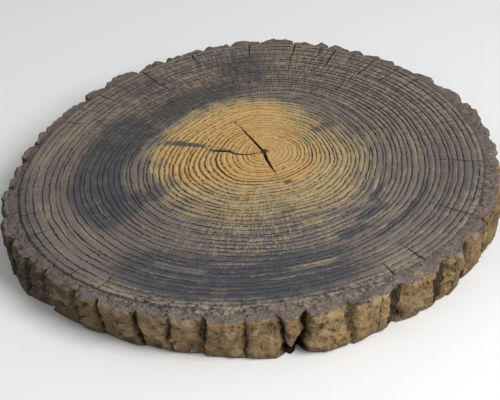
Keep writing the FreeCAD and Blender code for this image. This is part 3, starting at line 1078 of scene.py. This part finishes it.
def ring_lines(tree, place, heart):
    """Masks that follow the rings: broken line, lit edge, tone of each ring and rays across them."""
    ring, woven, coarse = (tree.field(name) for name in ("ring", "woven", "coarse"))
    away = tree.vector("MULTIPLY", tree.vector("SUBTRACT", place, heart), (1, 1, 0))
    way = tree.vector("NORMALIZE", away)
    shifted = tree.ramp(tree.uneven(place, 260.0), 0.45, ring)
    whole = tree.calc("ROUND", shifted)
    signed = tree.less(shifted, whole)

    def raised(base, step, lift):
        """A place raised with the ring number, so that each ring has a run of its own."""
        up = tree.put("ShaderNodeCombineXYZ", {2: tree.times(lift, step)}).outputs[0]
        return tree.vector("ADD", base, up)

    def along(stretch, step, lift):
        """A place that runs round the rings."""
        scaled = tree.put("ShaderNodeVectorMath", {0: way, "Scale": stretch}, operation="SCALE")
        return raised(scaled.outputs[0], step, lift)

    dashes = tree.blotch(raised(away, 0.013, whole), 700.0, 1.0, 0.6)
    tone = tree.blotch(along(3.2, 5.1, whole), 1.0, 2.0, 0.6)
    faint = tree.blotch(along(7.0, 9.7, whole), 1.0, 2.0, 0.6)
    streaks = tree.blotch(along(6.0, 5.0, shifted), 1.0, 4.0, 0.65)
    rays = tree.blotch(along(92.0, 0.5, ring), 1.0, 1.0, 0.5)
    bold = tree.step(tree.calc("ABSOLUTE", tree.less(ring, BOLD_RING)), 0.65, 0.45)
    thinner = tree.step(ring, *FINE_RINGS)
    half = tree.sum(-0.06, (thinner, -0.04), (dashes, 0.30), (coarse, 0.08), (bold, 0.05))
    gap = tree.less(tree.calc("ABSOLUTE", signed), half)
    shown = tree.ramp(tree.step(faint, 0.34, 0.54), 0.7, 0.3)
    shown = tree.most(shown, tree.times(coarse, 0.8))
    beaded = tree.ramp(tree.step(ring, *BEADED_RINGS), 0.10, tree.step(dashes, 0.28, 0.40))
    beaded = tree.step(tree.times(beaded, tree.step(dashes, 0.34, 0.50)), 0.0, 0.8)
    steady = tree.times(tree.step(ring, *STEADY_RINGS), tree.ramp(coarse, 0.35, 0.55))
    broken = tree.times(tree.most(beaded, steady), shown)
    broken = tree.most(broken, tree.times(bold, tree.step(faint, 0.30, 0.44)))
    line = tree.times(tree.step(gap, 0.06, -0.06), broken)
    # Edge: a strip beside each groove, partly dry-brush and partly a painted highlight of the lit edge
    edge = tree.step(tree.calc("ABSOLUTE", tree.plus(signed, 0.24)), 0.14, 0.06)
    return {
        "line": line, "edge": edge, "tone": tone, "rays": rays, "dashes": dashes, "ring": ring,
        "streaks": streaks, "woven": woven, "coarse": coarse,
    }


def crumbled(tree, stain, clumps, under, amount):
    """A colour with the crumbling joint's flecks and pits over it."""
    clump = tree.use(clumps, Amount=amount)
    flecked = tree.mix(clump["Flecks"], under, stain.pale)
    return tree.mix(clump["Pits"], flecked, stain.line)


def sawn_stain(tree, stain, masks, wash, place):
    """Colour of the sawn wood under its lines, and how far slate covers it."""
    slate, gold, warm = (tree.field(name) for name in ("slate", "gold", "warm"))
    ragged, streaked, flecked = (tree.less(masks[name], 0.5) for name in ("tone", "streaks", "dashes"))
    mottled = tree.uneven(place, 95.0, 4.0, 0.7)
    tan = tree.times(tree.step(masks["tone"], 0.45, 0.72), 0.5)
    land = tree.mix(tree.ramp(masks["woven"], 0.05, tan), stain.mauve, stain.tan)
    spread = tree.sum(gold, (ragged, 0.6), (mottled, 0.7), (streaked, 0.5))
    near = tree.ramp(tree.step(gold, 0.0, 0.15), 0.7, 0.3)
    land = tree.layer(land, stain.olive, tree.step(spread, 0.08, 0.55), near)
    land = tree.mix(tree.step(spread, 0.55, 1.0), land, tree.mix(warm, stain.gold, stain.warm))
    land = tree.use(wash, Colour=land, Wash=stain.slate, Amount=0.17, Scale=38.0)["Colour"]
    stained = tree.sum(slate, (ragged, 0.7), (mottled, 0.9), (streaked, 1.2), (flecked, 0.4))
    cover = tree.times(tree.step(stained, 0.16, 0.72), 0.95)
    cloudy = tree.times(tree.step(mottled, -0.06, 0.20), 0.5)
    land = tree.mix(cover, land, tree.mix(cloudy, stain.slate, stain.mist))
    land = tree.layer(land, stain.line, tree.step(masks["streaks"], 0.52, 0.30), 0.45)
    return land, cover


def sawn_material(stain, heart, grain, wash, clumps):
    """Sawn wood face: gold heart, mauve outer wood, slate stain and dark ring lines."""
    material, tree, shader = new_material("stained_sawn_face")
    place = tree.place()
    masks = ring_lines(tree, place, heart)
    cast = tree.use(grain, Grain=1100.0, Holes=0.25)
    land, cover = sawn_stain(tree, stain, masks, wash, place)
    gold = tree.field("gold")
    bare = tree.ramp(cover, -0.35, 1.0)
    ridged = tree.times(masks["coarse"], tree.ramp(masks["woven"], 0.3, 0.5))
    ridged = tree.most(tree.step(masks["dashes"], 0.42, 0.62), ridged)
    picked = tree.most(tree.step(masks["tone"], 0.46, 0.62), tree.step(gold, 0.1, 0.5))
    picked = tree.most(picked, masks["woven"], masks["coarse"])
    # Painted highlight, with dry-brush: a pale tan strip beside each groove
    brushed = tree.times(masks["edge"], ridged, bare, picked)
    land = tree.mix(brushed, land, tree.mix(tree.step(gold, 0.05, 0.4), stain.pale, stain.tan))
    combed = tree.times(tree.step(masks["rays"], 0.52, 0.66), masks["woven"])
    land = tree.layer(land, stain.pale, combed, tree.ramp(cover, -0.26, 0.42))
    rays = tree.times(tree.step(masks["rays"], 0.56, 0.40), tree.ramp(masks["woven"], 0.40, 0.10))
    plain = tree.ramp(tree.field("smooth"), -0.55, 1.0)
    land = tree.layer(land, stain.line, rays, plain)
    deep = tree.mix(tree.step(gold, 0.4, 1.0), stain.line, stain.gold_line)
    depth = tree.times(tree.step(masks["ring"], *CLEAR_RINGS), plain, bare)
    land = tree.layer(land, deep, masks["line"], depth)
    land = tree.layer(land, stain.wood_sand, cast["Speckle"], 0.06)
    land = tree.layer(land, stain.line, cast["Holes"], 0.6)
    verge = tree.times(tree.step(masks["ring"], *JOINT_RINGS), tree.field("ticks"))
    land = crumbled(tree, stain, clumps, land, verge)
    crack = tree.step(tree.field("crack"), 0.02, 0.18)
    tree.join(shader.inputs["Base Color"], tree.layer(land, stain.furrow, crack, 0.9))
    tree.join(shader.inputs["Roughness"], tree.ramp(cover, -0.15, MATTE_ROUGHNESS))
    height = tree.sum(cast["Height"], (masks["line"], -1.5), (masks["streaks"], 0.9))
    tree.bump(shader, height, 0.0006, 0.9)
    return material


def bark_plates(tree, stain, wash, place, uneven, gritty):
    """Stained bark plates with a mauve top, worn dry-brushed high spots, painted shade on the left side and
    at the foot, and a painted highlight on the shoulder's crests.
    """
    rim, rise, shade = (tree.field(name) for name in ("rim", "rise", "shade"))
    plate = tree.use(wash, Colour=stain.ochre, Wash=stain.umber, Amount=0.46, Scale=85.0)["Colour"]
    plate = tree.layer(plate, stain.umber, tree.step(tree.field("tone"), 0.2, 1.0), 0.30)
    # Painted shade with the bark's own dark stain: plates turn to dusk where the shade table is high, on the
    # left
    plate = tree.mix(tree.step(tree.ramp(uneven, 0.4, shade), -0.05, 1.0), plate, stain.dark_stain_and_shade)
    # Painted shade: the plates darken towards the foot, where the stone meets the floor
    low = tree.put("ShaderNodeSeparateXYZ", {0: place}).outputs[2]
    foot = tree.step(tree.ramp(uneven, 0.014, low), 0.011, 0.001)
    plate = tree.layer(plate, stain.foot, foot, 0.6)
    top = tree.use(wash, Colour=stain.rim, Wash=stain.slate, Amount=0.30, Scale=90.0)["Colour"]
    plate = tree.mix(tree.step(tree.ramp(uneven, 1.1, rim), 0.36, 0.66), plate, top)
    lifted = tree.ramp(uneven, 0.7, rise)
    # Dry-brushed tan on raised relief, kept off the side that carries the painted shade
    plate = tree.layer(plate, stain.tan, tree.step(lifted, 0.20, 1.2), tree.ramp(shade, -0.40, 0.5))
    # Painted highlight: bright flecks along the shoulder, strongest where the painted shade is low, on the
    # lit side
    crest_highlight = tree.calc("ABSOLUTE", tree.less(tree.ramp(uneven, 0.5, rim), 0.42))
    crest_highlight = tree.times(tree.step(crest_highlight, 0.30, 0.05), tree.step(uneven, -0.04, 0.12))
    plate = tree.layer(plate, stain.crest_highlight, crest_highlight, tree.ramp(shade, -0.8, 0.6, clamp=True))
    plate = tree.layer(plate, stain.furrow, tree.step(lifted, -0.35, -1.6), 0.50)
    return tree.layer(plate, stain.furrow, tree.step(gritty, 0.03, 0.22), 0.40)


def bark_joint(tree, stain, clumps, plate, place, heart, uneven):
    """The joint of bark and wood: crumbs, short ticks across it and a dark crease."""
    way = tree.vector("NORMALIZE", tree.vector("SUBTRACT", place, heart))
    inner = tree.ramp(uneven, 0.25, tree.field("inner"))
    beads = tree.times(tree.step(inner, 0.20, 0.75), tree.field("ticks"))
    plate = crumbled(tree, stain, clumps, plate, beads)
    ticks = tree.times(tree.step(tree.blotch(way, 95.0, 1.0), 0.52, 0.60), beads)
    plate = tree.layer(plate, stain.line, ticks, 0.8)
    crease = tree.times(tree.step(inner, 0.80, 0.93), tree.field("crease"))
    return tree.layer(plate, stain.line, crease, 0.85)


def bark_material(stain, heart, grain, wash, clumps):
    """Bark: stained plates, their joint with the wood, and dark wash in the furrows and hollows."""
    material, tree, shader = new_material("stained_bark")
    place = tree.place()
    cast = tree.use(grain, Grain=620.0, Holes=0.34)
    uneven = tree.uneven(place, 150.0, 4.0, 0.65)
    gritty = tree.uneven(place, 430.0, 3.0, 0.7)
    plate = bark_plates(tree, stain, wash, place, uneven, gritty)
    plate = bark_joint(tree, stain, clumps, plate, place, heart, uneven)
    plate = tree.layer(plate, stain.bark_sand, cast["Speckle"], 0.10)
    plate = tree.layer(plate, stain.furrow, cast["Holes"], 0.6)
    combed = tree.blotch(tree.vector("MULTIPLY", place, (1.0, 1.0, 0.14)), 520.0, 3.0, 0.65)
    ridges = tree.times(tree.step(combed, 0.45, 0.62), tree.field("wide"))
    deep = tree.layer(stain.furrow, stain.umber, ridges, 0.8)
    sunk = tree.step(tree.ramp(uneven, 1.3, tree.field("furrow")), 0.15, 0.85)
    tree.join(shader.inputs["Base Color"], tree.mix(sunk, plate, deep))
    shader.inputs["Roughness"].default_value = MATTE_ROUGHNESS
    rough = tree.sum(cast["Height"], (tree.blotch(place, 330.0, 3.0, 0.6), 1.6), (gritty, 0.8))
    tree.bump(shader, rough, 0.0014, 1.0)
    return material


def underside_material(stain, grain, wash):
    """Bare cast concrete."""
    material, tree, shader = new_material("cast_underside")
    cast = tree.use(grain, Grain=500.0, Holes=0.5)
    plain = tree.use(wash, Colour=stain.concrete, Wash=stain.umber, Amount=0.2, Scale=22.0)["Colour"]
    plain = tree.layer(plain, stain.umber, cast["Holes"], 0.6)
    tree.join(shader.inputs["Base Color"], plain)
    shader.inputs["Roughness"].default_value = MATTE_ROUGHNESS
    tree.bump(shader, cast["Height"], 0.0006, 0.6)
    return material


class STONE_OT_log_slice(bpy.types.Operator):
    """Build the log slice over the cast frame"""

    bl_idname = "stepping_stone.log_slice"
    bl_label = "Build log slice"

    def execute(self, context):
        size, stain = context.scene.slice_settings, context.scene.stain_settings
        mesh = build_slice(size)
        heart = (size.axis_x + size.heart_x, size.axis_y + size.heart_y, 0.0)
        grain, wash, clumps = grain_group(), wash_group(), clump_group()
        mesh.materials.append(sawn_material(stain, heart, grain, wash, clumps))
        mesh.materials.append(bark_material(stain, heart, grain, wash, clumps))
        mesh.materials.append(underside_material(stain, grain, wash))
        piece = bpy.data.objects.new("log_slice", mesh)
        context.scene.collection.objects.link(piece)
        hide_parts(STONE)
        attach(piece, "root")
        return {"FINISHED"}


def place_facing(scene, name, data, at, look_at):
    """A camera or light that faces a point."""
    made = bpy.data.objects.new(name, data)
    made.location = at
    made.rotation_euler = (Vector(look_at) - Vector(at)).to_track_quat("-Z", "Y").to_euler()
    scene.collection.objects.link(made)
    return made


def add_camera(scene, stage):
    """The camera at the photograph's angle."""
    camera = bpy.data.cameras.new("camera")
    camera.lens = stage.lens
    camera.sensor_width = FRAME_WIDTH
    scene.camera = place_facing(scene, "camera", camera, stage.camera_at, stage.look_at)


def add_floor(scene, stage):
    """A plain pale floor, a little below the stone."""
    half = stage.floor_size / 2
    corners = [(x * half, y * half, -FLOOR_GAP) for x, y in ((-1, -1), (1, -1), (1, 1), (-1, 1))]
    mesh = bpy.data.meshes.new("floor")
    mesh.from_pydata(corners, [], [(0, 1, 2, 3)])
    floor = bpy.data.objects.new("floor", mesh)
    scene.collection.objects.link(floor)
    material, _, shader = new_material("pale_floor")
    shader.inputs["Base Color"].default_value = (*stage.floor_tint, 1.0)
    shader.inputs["Roughness"].default_value = FLOOR_ROUGHNESS
    mesh.materials.append(material)


def add_sky(scene, stage):
    """Even light from all round."""
    world = bpy.data.worlds.new("studio")
    world.use_nodes = True
    sky = world.node_tree.nodes["Background"]
    sky.inputs["Color"].default_value = (*stage.sky_tint, 1.0)
    sky.inputs["Strength"].default_value = stage.sky_power
    scene.world = world


def add_light(scene, name, at, side, power):
    """A square softbox that faces the stone."""
    light = bpy.data.lights.new(name, "AREA")
    light.size = side
    light.energy = power
    place_facing(scene, name, light, at, (0.0, 0.0, CAD_HIGH.z * LIT_SHARE))


class STONE_OT_stage(bpy.types.Operator):
    """Set up the camera, the pale floor and the soft light"""

    bl_idname = "stepping_stone.stage"
    bl_label = "Set the stage"

    def execute(self, context):
        scene, stage = context.scene, context.scene.stage_settings
        add_camera(scene, stage)
        add_floor(scene, stage)
        add_sky(scene, stage)
        add_light(scene, "key_softbox", stage.key_at, stage.key_side, stage.key_power)
        add_light(scene, "fill_softbox", stage.fill_at, stage.fill_side, stage.fill_power)
        scene.view_settings.view_transform = "Standard"
        return {"FINISHED"}


class STONE_PT_panel(bpy.types.Panel):
    """Settings of the stepping stone"""

    bl_idname = "STONE_PT_panel"
    bl_label = "Stepping stone"
    bl_space_type = "VIEW_3D"
    bl_region_type = "UI"
    bl_category = "Stone"

    def draw(self, context):
        for name in SETTINGS:
            box = self.layout.box()
            group = getattr(context.scene, name)
            for entry in group.bl_rna.properties:
                if entry.identifier not in ("rna_type", "name"):
                    box.prop(group, entry.identifier)
        self.layout.operator(STONE_OT_log_slice.bl_idname)
        self.layout.operator(STONE_OT_stage.bl_idname)


SETTINGS = {
    "slice_settings": SliceSettings,
    "stain_settings": StainSettings,
    "stage_settings": StageSettings,
}
CLASSES = (*SETTINGS.values(), STONE_OT_log_slice, STONE_OT_stage, STONE_PT_panel)


def register():
    for each in CLASSES:
        bpy.utils.register_class(each)
    for name, group in SETTINGS.items():
        setattr(bpy.types.Scene, name, bpy.props.PointerProperty(type=group))


def unregister():
    for name in SETTINGS:
        delattr(bpy.types.Scene, name)
    for each in reversed(CLASSES):
        bpy.utils.unregister_class(each)


def main():
    register()
    bpy.ops.stepping_stone.log_slice()
    bpy.ops.stepping_stone.stage()


if __name__ == "__main__":
    main()
